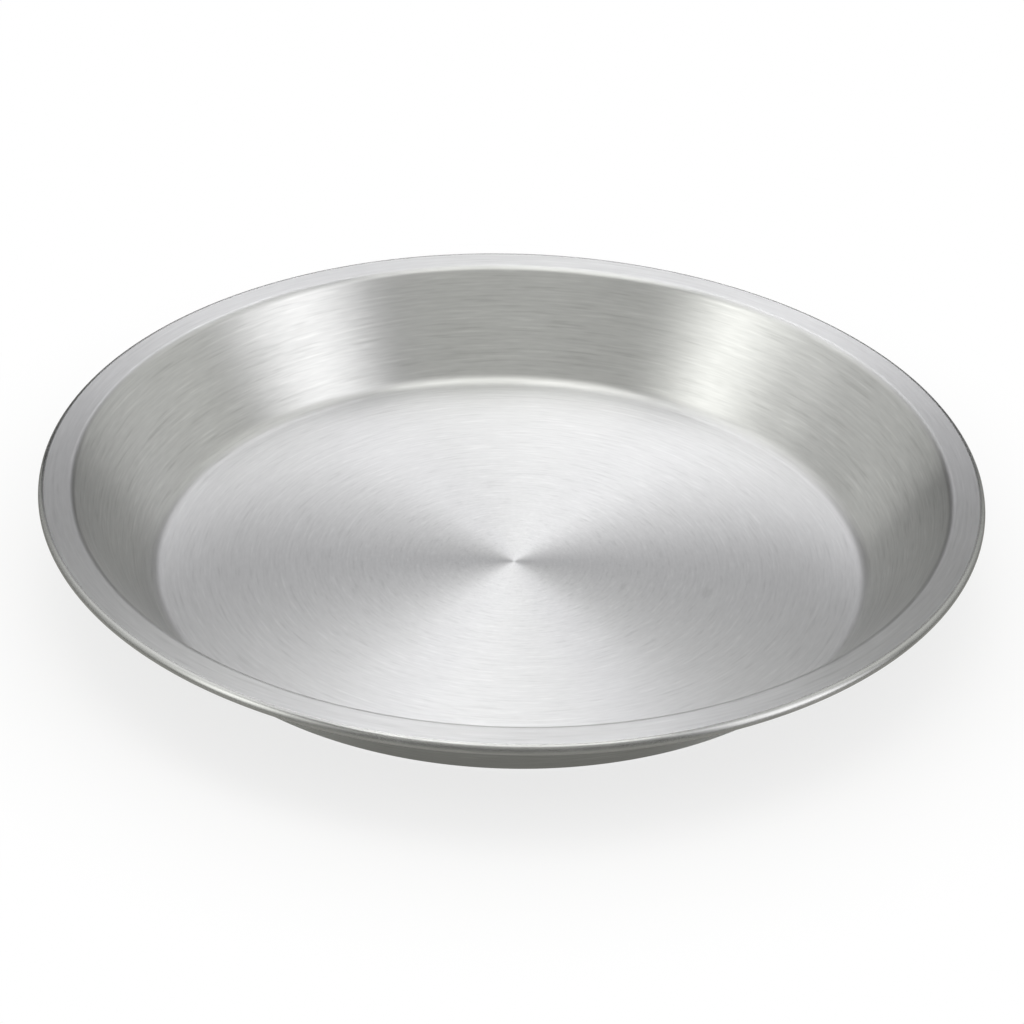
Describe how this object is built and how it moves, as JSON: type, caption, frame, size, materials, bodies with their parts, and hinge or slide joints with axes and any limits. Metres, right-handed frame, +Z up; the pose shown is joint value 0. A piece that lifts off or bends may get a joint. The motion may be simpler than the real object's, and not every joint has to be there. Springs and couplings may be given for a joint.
{
  "type": "pie pan",
  "caption": "Shallow round metal pie pan with sloping walls, a flat floor, a flat rim and a rolled edge.",
  "frame": {"origin": "middle of the resting face, under the floor", "axes": "+Z up, along the pan's axis of symmetry; X and Y level"},
  "size_m": [0.246, 0.246, 0.0275],
  "materials": {
    "brushed_steel": "satin, with fine brush lines that run round the pan's axis"
  },
  "bodies": {
    "root": {"pie_pan": "brushed_steel"}
  },
  "joints": []
}
